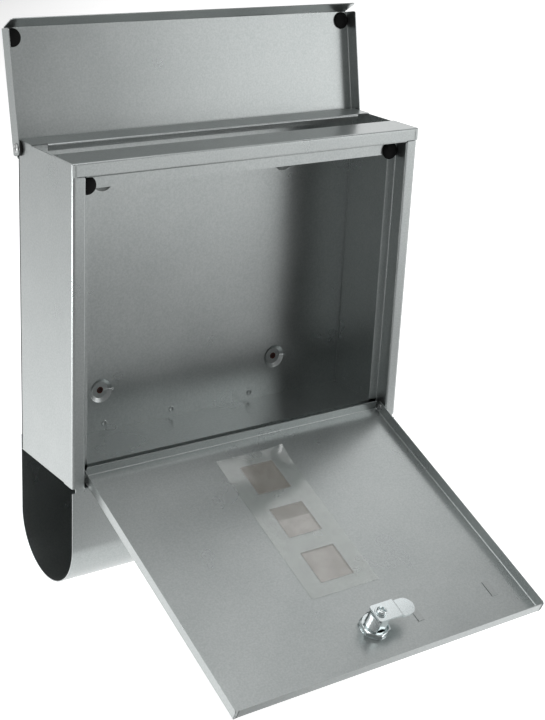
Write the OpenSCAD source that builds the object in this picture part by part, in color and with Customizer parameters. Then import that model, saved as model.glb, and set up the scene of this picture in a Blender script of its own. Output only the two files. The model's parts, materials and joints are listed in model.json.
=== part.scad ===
// Wall mounted mailbox in folded sheet steel: a shallow box with a front door that
// folds down, a tray-shaped lid over a mail slot, and an open newspaper tube below.
// Four spacers hold it off the wall, so that the lid's rear edge has room to swing.
// The origin is the middle of the four wall screws, in the plane of the wall.
// +Z is up and the front of the box faces -Y. The lid and the door are drawn open.

/* [Body] */
// Width of the body over its side walls
body_w = 365; // [300:1:440]
// Height of the body's sides, without the newspaper tube
body_h = 292; // [250:1:360]
// Depth of the body from its front to its back
body_d = 101; // [86:1:125]
// Thickness of every steel sheet
sheet = 0.8; // [0.6:0.1:1.2]
// How far the newspaper tube hangs below the body
tube_drop = 110; // [92:1:140]

/* [Front frame] */
// Width of the frame's face beside the door
stile_w = 12.5; // [10:0.5:18]
// Height of the frame's face above the door
rail_h = 13; // [10:0.5:20]
// Depth of the recess that the door closes into
recess_d = 16; // [14:0.5:20]
// Width of the door stop at the two sides
side_stop_w = 10; // [6:0.5:16]
// Height of the door stop at the top
top_stop_h = 13.5; // [8:0.5:20]
// Height of the door stop at the bottom
low_stop_h = 14; // [8:0.5:20]

/* [Mail slot] */
// Depth of the top strip between the front and the slot
front_strip_d = 36.5; // [30:0.5:44]
// Depth of the top strip between the slot and the back
rear_strip_d = 28; // [24:0.5:34]
// Height of the lip folded down along the slot's rear edge
slot_lip_h = 6; // [3:0.5:10]
// How much shorter the lip is than the body, at each end
slot_lip_inset = 15; // [8:1:30]

/* [Wall screws] */
// Distance between the two columns of screw holes
screw_dx = 200; // [150:1:260]
// Height of the lower screw holes above the body's bottom edge
screw_low = 43; // [30:1:60]
// Gap between the body's back and the wall
wall_gap = 12; // [12:0.5:25]
// Diameter of the hole that a wall screw goes through
screw_hole_d = 4.6; // [3:0.1:6]
// Diameter of a spacer
spacer_d = 15; // [12:0.5:18]
// Diameter of the spacer's neck, which is pushed into the back panel
spacer_neck_d = 6.5; // [6.5:0.1:9]
// Depth of the dimples round the screw holes
dimple_h = 2; // [1:0.1:4]
// Diameter of a dimple at the sheet
dimple_d = 23; // [20:1:30]
// Diameter of a dimple's flat bottom
dimple_flat_d = 16; // [12:0.5:19]

/* [Door] */
// Gap between the door and the frame at each side
door_side_gap = 2.3; // [1.5:0.1:4]
// Gap between the door's upper edge and the frame
door_top_gap = 2; // [1:0.1:4]
// Depth of the door's turned edges
door_edge_d = 11; // [9:0.5:12]
// How far the open door hangs below level
door_droop = 23; // [10:1:30]
// Side of the square windows
window_w = 34.5; // [20:0.5:44]
// Distance between the middles of two windows, on a body 292 high
window_pitch = 54.6; // [48:0.2:64]
// Height of the lowest window's middle above the door's lower edge, on a body 292 high
window_first = 51.4; // [44:0.2:64]
// Width of the clear film behind the windows
film_w = 74; // [60:1:90]
// Height of the clear film, on a body 292 high
film_h = 172; // [150:1:176]
// Thickness of the clear film
film_t = 0.3; // [0.2:0.1:0.5]

/* [Lock] */
// Distance of the lock from the door's upper edge
lock_from_top = 37.6; // [34:0.2:46]
// Thread diameter of the lock's barrel
barrel_d = 19; // [16:0.5:22]
// Width of the barrel across its two flats
barrel_flats = 16.4; // [14:0.1:19]
// Length of the barrel behind the door's outer face
barrel_l = 19.6; // [18:0.1:21]
// Diameter of the barrel's head
barrel_head_d = 23; // [21:0.5:28]
// Diameter of the turning plug
plug_d = 12; // [10:0.5:14]
// Width of the lock nut across its flats
nut_flats = 25; // [22:0.5:30]
// Length of the cam from the lock's axis to its tip
cam_l = 36.5; // [34:0.5:42]
// Width of the cam
cam_w = 18; // [14:0.5:20]
// How far the cam's tip is cranked towards the door
cam_crank = 3; // [1:0.5:3]

/* [Name plate] */
// Width of the name plate holder between its two tabs
holder_w = 81; // [60:1:90]
// Height of the name plate holder
holder_h = 25; // [18:1:32]
// Distance from the door's middle to the middle of the holder
holder_x = 91.5; // [70:0.5:100]

/* [Lid] */
// Depth of the lid from its hinge axis to its front fold
lid_reach = 102; // [94:1:110]
// Depth of the lid's side edges
lid_edge_d = 13.5; // [12:0.5:18]
// Length of the slanted front lip
lid_lip_l = 18.8; // [12:0.2:24]
// Angle between the lip and the lid's panel, where 90 is square
lid_lip_slant = 69; // [50:1:90]
// How far the lid's panel reaches behind its hinge axis
lid_tail = 10; // [8:0.5:10.5]
// How far the open lid leans back from upright
lid_lean = 10.6; // [0:0.1:15]
// Distance of the lid's hinge axis from the body's back
lid_axis_in = 3.5; // [3:0.5:5]
// Distance of the lid's hinge axis below the body's top
lid_axis_down = 7; // [6:0.5:12]

/* [Rubber bumpers] */
// Diameter of a bumper
bumper_d = 16; // [10:0.5:18]
// Height of a lid bumper
lid_bumper_h = 3; // [2:0.1:4]

/* [Hidden] */

// Smooth circles and circles on small parts
$fn = 64;
small_fn = 32;
// Overrun of a cut past the faces it goes through
cut = 1;
// Gap between a moving face and the fixed face beside it
slip = 0.1;
// Radial gap between a turning pin and its hole
run_fit = 0.05;
// Radial gap round a shank that is fixed in its hole
seat_fit = 0.02;

// Body faces, measured from the wall and from the middle of the screw holes
back_y = -wall_gap;
front_y = back_y - body_d;
top_z = body_h / 2;
low_z = -body_h / 2;
side_x = body_w / 2;
wall_in = side_x - sheet;
screw_dz = body_h - 2 * screw_low;

// Door opening in the front sheet
opening_x = side_x - stile_w;
opening_low = low_z - 1;
opening_top = top_z - rail_h;
stop_y = front_y + recess_d;
stop_x = opening_x - side_stop_w;
top_stop_z = opening_top - top_stop_h;
low_stop_z = low_z + low_stop_h;
low_fold_z = opening_low - sheet;

// Newspaper tube: half a circle as wide as the body is deep, below straight sides
tube_r = body_d / 2;
tube_y = back_y - tube_r;
tube_z = low_z - tube_drop + tube_r;
// How far the tube's rear side laps up behind the back panel
lap_h = 15;
// How far a spacer's neck stands out of the dimple's bottom
neck_lip = 0.4;
// Width of the side walls' turned edges
edge_w = 11;
// Depth of the back panel's foot under the floor
foot_d = 12;
// Floor level inside the box
floor_z = low_z + 2 * sheet;

// Door, drawn shut and then turned about its pins
door_x = opening_x - door_side_gap;
door_low = low_z + 3;
door_h = opening_top - door_top_gap - door_low;
door_turn = 90 + door_droop;
// Windows and film keep their share of a taller or shorter door
door_share = door_h / 274;
window_step = window_pitch * door_share;
window_low = door_low + window_first * door_share;
film_l = film_h * door_share;
pin_y = front_y + 5.7;
pin_z = door_low + 4.8;
pin_r = 2;
pin_head_r = 3.5;
pin_head_t = 1.2;
pin_collar_t = 1;
// Radius on the corners of the door's turned edges
edge_corner_r = 2.5;
// Clear length at each end of the door's upper and lower turned edges
corner_relief = 3.5;
// Drain hole near the left end of the door's lower turned edge
drain_r = 1.2;
drain_in = 32;
drain_up = 2.2;

// Lock, at the middle of the door; distances "in" are measured from the door's outer face
lock_z = door_low + door_h - lock_from_top;
barrel_r = barrel_d / 2;
head_t = 2.5;
plug_r = plug_d / 2;
nut_t = 4.5;
nut_turn = 38;
washer_t = 0.8;
washer_d = 27;
square_w = 8;
cam_t = 2;
cam_in = barrel_l + 0.4;
cam_heel = 7;
cam_bend = 21;
spring_washer_t = 0.8;
spring_washer_d = 12;
screw_r = 2.5;
screw_depth = 9;
screw_head_r = 4.6;
screw_head_t = 2.8;
wafers = 5;
wafer_t = 0.8;
wafer_pitch = 2.6;
wafer_first_in = 2.2;
wafer_w = 6.6;
wafer_h = 8.6;
key_w = 1.6;
key_h = 6.2;
wafer_gap = 0.1;
spring_x = 4.4;
spring_r = 0.65;
spring_l = 4.4;

// Name plate holder on the door's outer face
holder_t = 0.6;
holder_border = 4;
tab_w = 6;
cover_t = 0.8;
card_t = 0.4;
holder_pocket = cover_t + card_t;

// Lid, drawn shut with its panel level and then turned about its rivets
lid_y = back_y - lid_axis_in;
lid_z = top_z - lid_axis_down;
lid_turn = 90 + lid_lean;
// Height of the panel's inner face over the axis, so that it clears the body's rear edge
lid_panel_up = norm([lid_axis_down, lid_axis_in - sheet]) + 0.3;
// Height of the rear hem's free edge, so that it stops at the body's back at lid_lean
lid_hem_up = (lid_axis_in + slip + lid_tail * sin(lid_lean)) / cos(lid_lean);
washer_gap = 2.1;
lid_x = side_x + washer_gap + slip;
lid_corner_r = 4;
lid_lip_inset = 2.5;
lid_lip_corner_r = 3;
rivet_r = 2;
rivet_head_r = 4.5;
rivet_head_t = 1.4;
rivet_tail_r = 3.6;
// Radial gap round a rivet's tail in the notches of the back panel and the side walls
notch_gap = 0.4;
lid_washer_r = 7;
lid_bumper_in = 9.2;

// Bumpers on the door stop end just clear of the shut door
bumper_r = bumper_d / 2;
frame_bumper_h = recess_d - door_edge_d;
frame_bumper_x = stop_x + 1.5;
frame_bumper_z = top_stop_z + 3.5;

// A box given by its lowest and highest corners
module block(low, high) {
    translate(low) cube(high - low);
}

// A cylinder along X from x1 to x2, at y and z
module rod_x(x1, x2, y, z, r) {
    translate([x1, y, z]) rotate([0, 90, 0]) cylinder(r = r, h = x2 - x1);
}

// The same shape on the left and on the right
module both_sides() {
    children();
    mirror([1, 0, 0]) children();
}

// A low rubber dome along +Z: a short cylinder under a slice of a sphere
module bumper(height) {
    rim = height * 0.4;
    rise = height - rim;
    ball_r = (bumper_r * bumper_r + rise * rise) / (2 * rise);
    cylinder(r = bumper_r, h = rim);
    translate([0, 0, rim]) intersection() {
        translate([0, 0, rise - ball_r]) sphere(r = ball_r, $fn = 96);
        cylinder(r = bumper_r, h = rise);
    }
}

// ---- Body ----

// One dimple pressed out towards the wall, as a hollow cone with a flat bottom
module dimple() {
    difference() {
        cylinder(r1 = dimple_d / 2 + sheet, r2 = dimple_flat_d / 2 + sheet,
            h = dimple_h + sheet);
        cylinder(r1 = dimple_d / 2, r2 = dimple_flat_d / 2, h = dimple_h);
        cylinder(r = spacer_neck_d / 2, h = dimple_h + sheet + cut);
    }
}

// The four screw places on the back panel's inner face, with +Z towards the wall
module at_screws() {
    for (x = [-screw_dx / 2, screw_dx / 2], z = [-screw_dz / 2, screw_dz / 2])
        translate([x, back_y - 2 * sheet, z]) rotate([-90, 0, 0]) children();
}

// Room for a lid rivet's tail, up to x_end
module rivet_notch(x_end) {
    rod_x(wall_in - rivet_head_t - notch_gap, x_end, lid_y, lid_z, rivet_tail_r + notch_gap);
}

// Back wall, with the rear strip of the top and a foot under the floor folded forward
module back_panel() {
    panel_y = back_y - 2 * sheet;
    strip_y = back_y - rear_strip_d;
    lip_x = side_x - slot_lip_inset;
    color("silver") {
        difference() {
            union() {
                block([-wall_in, panel_y, low_z], [wall_in, back_y - sheet, top_z]);
                block([-side_x, strip_y, top_z - sheet], [side_x, back_y - sheet, top_z]);
                block([-lip_x, strip_y, top_z - slot_lip_h],
                    [lip_x, strip_y + sheet, top_z]);
                block([-opening_x, panel_y - foot_d, low_z],
                    [opening_x, back_y - sheet, low_z + sheet]);
            }
            at_screws() translate([0, 0, -cut])
                cylinder(r = dimple_d / 2, h = sheet + 2 * cut);
            both_sides() rivet_notch(wall_in + cut);
        }
        at_screws() dimple();
    }
}

// Spacers between the dimples and the wall, each with a neck pushed into its dimple
module wall_spacers() {
    base = dimple_h + sheet;
    color("maroon") at_screws() difference() {
        union() {
            translate([0, 0, base]) cylinder(r = spacer_d / 2, h = wall_gap + 2 * sheet - base);
            translate([0, 0, dimple_h - neck_lip])
                cylinder(r = spacer_neck_d / 2 - seat_fit, h = sheet + neck_lip + cut);
        }
        cylinder(r = screw_hole_d / 2, h = wall_gap + 2 * sheet + cut);
    }
}

// Front frame, newspaper tube and rear lap, folded from one sheet
module front_and_tube_sheet() {
    color("darkgray") difference() {
        union() {
            block([-side_x, front_y, tube_z], [side_x, front_y + sheet, opening_top]);
            block([-side_x, back_y - sheet, tube_z], [side_x, back_y, low_z + lap_h]);
            translate([-side_x, tube_y, tube_z]) rotate([90, 0, 90])
                linear_extrude(body_w) difference() {
                    circle(r = tube_r, $fn = 128);
                    circle(r = tube_r - sheet, $fn = 128);
                    translate([-tube_r - cut, 0]) square([2 * (tube_r + cut), tube_r + cut]);
                }
            both_sides() {
                block([opening_x, front_y, low_fold_z],
                    [opening_x + sheet, stop_y, opening_top]);
                block([stop_x, stop_y - sheet, low_fold_z],
                    [opening_x + sheet, stop_y, top_stop_z]);
            }
            block([-opening_x, front_y, low_fold_z], [opening_x, stop_y, opening_low]);
            block([-opening_x, stop_y - sheet, low_fold_z], [opening_x, stop_y, low_stop_z]);
        }
        block([-opening_x, front_y - cut, opening_low],
            [opening_x, front_y + sheet + cut, opening_top + cut]);
        rod_x(-side_x, side_x, pin_y, pin_z, pin_r + seat_fit);
    }
}

// Side wall, with edges turned in behind the frame, under the floor and at the back
module side_wall() {
    inner = opening_x + sheet + slip;
    difference() {
        union() {
            block([wall_in, front_y + sheet, low_z], [side_x, back_y, top_z - sheet]);
            block([inner, front_y + sheet, low_z],
                [side_x, front_y + 2 * sheet, opening_top]);
            block([side_x - edge_w, stop_y, low_z], [side_x, back_y - 2 * sheet, low_z + sheet]);
            block([side_x - edge_w, back_y - sheet, low_z + lap_h],
                [side_x, back_y, top_z - sheet]);
        }
        rod_x(0, side_x + cut, lid_y, lid_z, rivet_r + seat_fit);
        block([0, back_y - sheet, low_z - cut], [side_x + cut, back_y + cut, low_z + lap_h]);
        rivet_notch(wall_in);
    }
}

module side_wall_left() {
    color("lightgray") mirror([1, 0, 0]) side_wall();
}

module side_wall_right() {
    color("lightgray") side_wall();
}

// Flat floor resting on the side walls' and the back panel's turned edges
module floor_plate() {
    color("gray") block([-wall_in, stop_y, low_z + sheet],
        [wall_in, back_y - 2 * sheet, floor_z]);
}

// Front strip of the top, the face above the door and the upper door stop, in one
module top_rail() {
    color("lightgray") {
        block([-side_x, front_y, top_z - sheet], [side_x, front_y + front_strip_d, top_z]);
        block([-side_x, front_y, opening_top], [side_x, front_y + sheet, top_z]);
        block([-opening_x, front_y, opening_top],
            [opening_x, stop_y, opening_top + sheet]);
        block([-opening_x, stop_y - sheet, top_stop_z],
            [opening_x, stop_y, opening_top + sheet]);
    }
}

// Rubber domes in the two upper corners of the door stop
module frame_bumpers() {
    color("black") both_sides()
        translate([frame_bumper_x, stop_y - sheet, frame_bumper_z])
            rotate([90, 0, 0]) bumper(frame_bumper_h);
}

// Pins fixed in the frame, with a head inside the door's turned edge
module door_hinge_pins() {
    head_out = door_x - sheet - slip;
    collar_in = opening_x + sheet;
    color("silver") both_sides() {
        rod_x(head_out, collar_in, pin_y, pin_z, pin_r);
        rod_x(head_out - pin_head_t, head_out, pin_y, pin_z, pin_head_r);
        rod_x(collar_in, collar_in + pin_collar_t, pin_y, pin_z, pin_head_r);
    }
}

// Rivets that the lid turns on, each with a domed head outside and a tail inside
module lid_rivets() {
    head_in = lid_x + sheet + slip;
    dome_r = (rivet_head_r * rivet_head_r + rivet_head_t * rivet_head_t)
        / (2 * rivet_head_t);
    color("silver") both_sides() {
        rod_x(wall_in, head_in, lid_y, lid_z, rivet_r);
        rod_x(wall_in - rivet_head_t, wall_in, lid_y, lid_z, rivet_tail_r);
        translate([head_in, lid_y, lid_z]) rotate([0, 90, 0]) intersection() {
            translate([0, 0, rivet_head_t - dome_r]) sphere(r = dome_r);
            cylinder(r = rivet_head_r, h = rivet_head_t);
        }
    }
}

// Black spacing washers between the lid and the side walls
module lid_washers() {
    color("black") both_sides() difference() {
        rod_x(side_x, side_x + washer_gap, lid_y, lid_z, lid_washer_r);
        rod_x(side_x - cut, side_x + washer_gap + cut, lid_y, lid_z, rivet_r + seat_fit);
    }
}

// ---- Door ----

// Turns what is drawn on the shut door to where the open door is
module door_open() {
    translate([0, pin_y, pin_z]) rotate([door_turn, 0, 0])
        translate([0, -pin_y, -pin_z]) children();
}

// A frame at a place on the door's outer face: +Z points into the box and +Y up the door
module on_door(x, z) {
    door_open() translate([x, front_y, z]) rotate([90, 0, 0]) mirror([0, 0, 1]) children();
}

// Outline of a turned edge with two rounded outer corners, from (0,0) to (length, depth)
module edge_outline(length, depth) {
    r = edge_corner_r;
    square([length, depth - r]);
    translate([r, 0]) square([length - 2 * r, depth]);
    for (x = [r, length - r]) translate([x, depth - r]) circle(r = r, $fn = small_fn);
}

// The barrel's section: a circle with two flats
module barrel_outline(grow) {
    intersection() {
        circle(r = barrel_r + grow);
        square([2 * barrel_d, barrel_flats + 2 * grow], center = true);
    }
}

// Door panel with four turned edges, three windows and the holes for lock and holder
module door_tray() {
    edge_x = door_x - corner_relief;
    color("darkgray") door_open() difference() {
        union() {
            block([-door_x, front_y, door_low],
                [door_x, front_y + sheet, door_low + door_h]);
            both_sides() translate([door_x - sheet, front_y, door_low])
                rotate([90, 0, 90]) linear_extrude(sheet)
                    rotate(90) mirror([0, 1]) edge_outline(door_h, door_edge_d);
            for (z = [door_low, door_low + door_h - sheet])
                translate([-edge_x, front_y, z]) linear_extrude(sheet)
                    edge_outline(2 * edge_x, door_edge_d);
        }
        for (i = [0 : 2])
            translate([0, front_y, window_low + i * window_step])
                cube([window_w, 4 * sheet, window_w], center = true);
        translate([0, front_y - cut, lock_z]) rotate([-90, 0, 0])
            linear_extrude(sheet + 2 * cut) barrel_outline(slip);
        for (side = [-1, 1])
            translate([holder_x + side * holder_w / 2, front_y, lock_z])
                cube([holder_t + 2 * slip, 4 * sheet, holder_h - 2 * holder_border + 2 * slip],
                    center = true);
        rod_x(-side_x, side_x, pin_y, pin_z, pin_r + run_fit);
        translate([-door_x + drain_in, front_y + sheet + drain_up, door_low - cut])
            cylinder(r = drain_r, h = sheet + 2 * cut, $fn = small_fn);
    }
}

// Clear film laid over the windows on the door's inner face
module window_film() {
    middle = window_low + window_step;
    color("lightblue", 0.4) door_open()
        translate([-film_w / 2, front_y + sheet, middle - film_l / 2])
            cube([film_w, film_t, film_l]);
}

// Metal frame outside the door, held by two tabs bent over on the inner face
module name_holder() {
    leg = holder_h - 2 * holder_border;
    color("silver") on_door(holder_x, lock_z) {
        translate([0, 0, -holder_pocket - holder_t]) linear_extrude(holder_t) difference() {
            square([holder_w + holder_t, holder_h], center = true);
            square([holder_w - 2 * holder_border, leg], center = true);
        }
        for (side = [-1, 1]) {
            translate([side * holder_w / 2, 0, (sheet + holder_t - holder_pocket) / 2])
                cube([holder_t, leg, holder_pocket + sheet + holder_t], center = true);
            translate([side * (holder_w + tab_w) / 2, 0, sheet + holder_t / 2])
                cube([tab_w + holder_t, leg, holder_t], center = true);
        }
    }
}

module name_cover() {
    color("white", 0.4) on_door(holder_x, lock_z)
        translate([0, 0, cover_t / 2 - holder_pocket])
            cube([holder_w - holder_t - 4 * slip, holder_h - 2, cover_t], center = true);
}

module name_card() {
    color("white") on_door(holder_x, lock_z)
        translate([0, 0, -card_t / 2])
            cube([holder_w - holder_t - 8 * slip, holder_h - 3, card_t], center = true);
}

// ---- Lock ----

// Fixed barrel: a head outside the door and a body with two flats, bored for the plug
module lock_barrel() {
    color("gainsboro") on_door(0, lock_z) difference() {
        union() {
            linear_extrude(barrel_l) barrel_outline(0);
            translate([0, 0, -head_t]) cylinder(r = barrel_head_d / 2, h = head_t);
        }
        translate([0, 0, -head_t - cut])
            cylinder(r = plug_r, h = barrel_l + head_t + 2 * cut);
    }
}

module lock_washer() {
    color("gainsboro") on_door(0, lock_z) translate([0, 0, sheet]) difference() {
        cylinder(r = washer_d / 2, h = washer_t);
        translate([0, 0, -cut]) cylinder(r = barrel_r + slip, h = washer_t + 2 * cut);
    }
}

module lock_nut() {
    color("gainsboro") on_door(0, lock_z) translate([0, 0, sheet + washer_t])
        difference() {
            rotate(nut_turn) cylinder(d = nut_flats / cos(30), h = nut_t, $fn = 6);
            translate([0, 0, -cut]) cylinder(r = barrel_r + seat_fit, h = nut_t + 2 * cut);
        }
}

// Middle of wafer i along the lock's axis
function wafer_in(i) = wafer_first_in + i * wafer_pitch;

// Turning plug: slots for the wafers, a keyway, a square end and a tapped hole
module lock_plug() {
    body_end = cam_in - slip;
    slot_t = wafer_t + 2 * wafer_gap;
    color("silver") on_door(0, lock_z) difference() {
        union() {
            translate([0, 0, -head_t])
                cylinder(r = plug_r - run_fit, h = body_end + head_t);
            translate([-square_w / 2, -square_w / 2, body_end])
                cube([square_w, square_w, cam_t]);
        }
        for (i = [0 : wafers - 1]) translate([0, 0, wafer_in(i)]) {
            cube([wafer_w + 2 * wafer_gap, wafer_h + 2 * wafer_gap, slot_t], center = true);
            translate([spring_x, 0, 0]) cube([2 * spring_r + 2 * wafer_gap,
                spring_l + 2 * wafer_gap, 2 * spring_r + 2 * wafer_gap], center = true);
        }
        translate([-key_w / 2, -key_h / 2, -head_t - cut])
            cube([key_w, key_h, head_t + cut + wafer_in(wafers - 1)]);
        translate([0, 0, cam_in + cam_t - screw_depth])
            cylinder(r = screw_r + seat_fit, h = screw_depth + cut);
    }
}

// Five wafers in a row, each with a slot that the key passes through
module lock_wafers() {
    color("gold") on_door(0, lock_z) for (i = [0 : wafers - 1])
        translate([0, 0, wafer_in(i)]) difference() {
            cube([wafer_w, wafer_h, wafer_t], center = true);
            cube([key_w + 0.4, key_h, 2 * wafer_t], center = true);
        }
}

// Five small springs beside the wafers, drawn as tubes
module wafer_springs() {
    color("silver") on_door(0, lock_z) for (i = [0 : wafers - 1])
        translate([spring_x, 0, wafer_in(i)]) rotate([90, 0, 0]) difference() {
            cylinder(r = spring_r, h = spring_l, center = true, $fn = small_fn);
            cylinder(r = spring_r / 2, h = spring_l + cut, center = true, $fn = small_fn);
        }
}

// Cranked cam: a plate round the plug's square end, a step, and a round tip
module lock_cam() {
    tip_r = cam_w / 2;
    tip_x = cam_l - tip_r;
    color("whitesmoke") on_door(0, lock_z) translate([0, 0, cam_in]) difference() {
        union() {
            translate([-cam_heel, -tip_r, 0]) cube([cam_heel + cam_bend, cam_w, cam_t]);
            translate([cam_bend - cam_t, -tip_r, -cam_crank])
                cube([cam_t, cam_w, cam_crank + cam_t]);
            translate([cam_bend - cam_t, -tip_r, -cam_crank])
                cube([tip_x - cam_bend + cam_t, cam_w, cam_t]);
            translate([tip_x, 0, -cam_crank]) cylinder(r = tip_r, h = cam_t);
        }
        cube([square_w, square_w, 4 * cam_t], center = true);
    }
}

module cam_spring_washer() {
    color("gainsboro") on_door(0, lock_z) translate([0, 0, cam_in + cam_t]) difference() {
        cylinder(r = spring_washer_d / 2, h = spring_washer_t);
        translate([0, 0, -cut])
            cylinder(r = screw_r + seat_fit, h = spring_washer_t + 2 * cut);
    }
}

// Pan-head screw with a cross recess, turned into the plug
module cam_screw() {
    head_in = cam_in + cam_t + spring_washer_t;
    color("gainsboro") on_door(0, lock_z) difference() {
        union() {
            translate([0, 0, head_in - screw_depth])
                cylinder(r = screw_r, h = screw_depth);
            translate([0, 0, head_in]) cylinder(r = screw_head_r, h = screw_head_t);
        }
        for (turn = [45, 135]) translate([0, 0, head_in + screw_head_t]) rotate(turn)
            cube([1.3 * screw_head_r, 1, screw_head_t], center = true);
    }
}

// ---- Lid ----

// Turns what is drawn on the shut, level lid to where the open lid is
module lid_open() {
    translate([0, lid_y, lid_z]) rotate([-lid_turn, 0, 0]) children();
}

// Outline of the lid's side edge, with +X towards the rear and +Y up: a round rear end
// about the hinge axis and a small round at the front
module lid_edge_outline() {
    end_r = lid_edge_d / 2;
    low = lid_panel_up - lid_edge_d;
    r = edge_corner_r;
    translate([0, low + end_r]) circle(r = end_r);
    translate([r - lid_reach, low]) square([lid_reach - r, lid_edge_d]);
    translate([-lid_reach, low + r]) square([r, lid_edge_d - r]);
    translate([r - lid_reach, low + r]) circle(r = r, $fn = small_fn);
}

// Outline of the lid's front lip, from its fold down to two round corners
module lid_lip_outline() {
    r = lid_lip_corner_r;
    half = lid_x + sheet - lid_lip_inset;
    translate([-half, r - lid_lip_l]) square([2 * half, lid_lip_l - r]);
    translate([r - half, -lid_lip_l]) square([2 * (half - r), r]);
    for (x = [r - half, half - r]) translate([x, r - lid_lip_l])
        circle(r = r, $fn = small_fn);
}

// Lid panel with side edges, a slanted front lip and a hem behind the hinge,
// drawn with the hinge axis at the origin and the front towards -Y
module lid_tray() {
    over = lid_panel_up;
    half_w = lid_x + sheet;
    hem_x = half_w - lid_corner_r;
    color("silver") lid_open() difference() {
        union() {
            translate([0, 0, over]) linear_extrude(sheet) union() {
                translate([-half_w, -lid_reach])
                    square([2 * half_w, lid_reach + lid_tail - lid_corner_r]);
                translate([-hem_x, 0]) square([2 * hem_x, lid_tail]);
                for (x = [-hem_x, hem_x]) translate([x, lid_tail - lid_corner_r])
                    circle(r = lid_corner_r, $fn = small_fn);
            }
            block([-hem_x, lid_tail - sheet, lid_hem_up],
                [hem_x, lid_tail, over + sheet]);
            translate([0, -lid_reach, over + sheet]) rotate([lid_lip_slant, 0, 0])
                translate([0, 0, -sheet]) linear_extrude(sheet) lid_lip_outline();
            both_sides() translate([lid_x, 0, 0]) rotate([90, 0, 90])
                linear_extrude(sheet) lid_edge_outline();
        }
        rod_x(-side_x - 20, side_x + 20, 0, 0, rivet_r + run_fit);
    }
}

// Rubber domes inside the lid's front corners
module lid_bumpers() {
    color("black") lid_open() both_sides()
        translate([lid_x - bumper_r - slip, -lid_reach + lid_bumper_in, lid_panel_up])
            rotate([180, 0, 0]) bumper(lid_bumper_h);
}

back_panel();
wall_spacers();
front_and_tube_sheet();
side_wall_left();
side_wall_right();
floor_plate();
top_rail();
frame_bumpers();
door_hinge_pins();
lid_rivets();
lid_washers();
door_tray();
window_film();
name_holder();
name_cover();
name_card();
lock_barrel();
lock_washer();
lock_nut();
lock_plug();
lock_wafers();
wafer_springs();
lock_cam();
cam_spring_washer();
cam_screw();
lid_tray();
lid_bumpers();
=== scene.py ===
import json
import math

import bpy
import numpy as np
from mathutils import Matrix, Vector


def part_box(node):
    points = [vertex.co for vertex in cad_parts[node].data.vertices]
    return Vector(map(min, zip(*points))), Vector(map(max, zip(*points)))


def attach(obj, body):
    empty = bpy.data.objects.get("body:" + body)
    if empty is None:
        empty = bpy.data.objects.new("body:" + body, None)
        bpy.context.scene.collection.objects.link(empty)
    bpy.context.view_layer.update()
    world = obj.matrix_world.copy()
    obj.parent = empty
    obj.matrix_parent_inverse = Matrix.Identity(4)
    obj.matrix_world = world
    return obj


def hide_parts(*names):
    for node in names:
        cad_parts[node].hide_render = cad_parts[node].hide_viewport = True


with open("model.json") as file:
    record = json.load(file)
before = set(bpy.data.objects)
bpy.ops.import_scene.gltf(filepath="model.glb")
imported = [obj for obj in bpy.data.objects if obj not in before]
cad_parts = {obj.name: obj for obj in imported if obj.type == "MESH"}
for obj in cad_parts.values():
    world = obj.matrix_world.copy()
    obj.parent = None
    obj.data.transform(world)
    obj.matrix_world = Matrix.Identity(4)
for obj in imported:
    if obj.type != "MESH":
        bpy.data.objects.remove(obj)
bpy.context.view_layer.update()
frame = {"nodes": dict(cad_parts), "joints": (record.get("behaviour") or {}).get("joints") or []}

# ---- Back panel ----
# The rear wall of the box. It is folded from 0.8 mm steel together with the rear strip
# of the top, the lip along the mail slot and a foot under the floor, pressed with a
# dimple for each wall screw, and then powder coated silver.

MM = 0.001


def box_mm(node):
    """Lowest and highest corner of a CAD node, in millimetres."""
    low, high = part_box(node)
    return np.array(low) / MM, np.array(high) / MM


floor_low, floor_high = box_mm("floor_plate")
sheet = floor_high[2] - floor_low[2]
half = sheet / 2
back_low, back_high = box_mm("back_panel")
front_low, front_high = box_mm("front_and_tube_sheet")
front_y, back_y = front_low[1], front_high[1]
side_x, opening_top = front_high[0], front_high[2]
top_z, low_z = back_high[2], back_low[2]
wall_in = side_x - sheet
BEND = 1.3


def fold(corners, radius=BEND, ease=0.4):
    """A line through the corners, each replaced by an arc of this radius that touches both
    its legs, and the unit normal on the line's left. Along an arc the heading turns evenly
    from one leg's to the next's. A point just before and after each arc keeps legs flat."""
    p = np.array(corners, float)
    leg = np.diff(p, axis=0)
    leg /= np.linalg.norm(leg, axis=1)[:, None]
    a, b = leg[:-1], leg[1:]
    turn = np.arctan2(a[:, 0] * b[:, 1] - a[:, 1] * b[:, 0], (a * b).sum(1))
    heading = np.arctan2(a[:, 1], a[:, 0])[:, None] + turn[:, None] * np.linspace(0, 1, 7)
    side = np.sign(turn)[:, None]
    left = np.stack([-a[:, 1], a[:, 0]], 1)
    centre = p[1:-1] - a * radius * np.abs(np.tan(turn / 2))[:, None] + left * side * radius
    arc = centre[:, None] + radius * side[:, :, None] * np.stack(
        [np.sin(heading), -np.cos(heading)], 2)
    line = np.concatenate(
        [arc[:, :1] - ease * a[:, None], arc, arc[:, -1:] + ease * b[:, None]], 1)
    heading = np.concatenate([heading[:, :1], heading, heading[:, -1:]], 1)
    line = np.vstack([p[:1], line.reshape(-1, 2), p[-1:]])
    heading = np.concatenate([heading[:1, 0], heading.ravel(), heading[-1:, -1]])
    return line, np.stack([-np.sin(heading), np.cos(heading)], 1)


def grid_lines(*values):
    """The values and their mirror images about zero, in rising order and each once."""
    v = np.concatenate([np.atleast_1d(x).astype(float) for x in values])
    return np.unique(np.round(np.concatenate([v, -v]), 4))


def mid(values):
    """The middle between each value and the next."""
    return (values[:-1] + values[1:]) / 2


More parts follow.
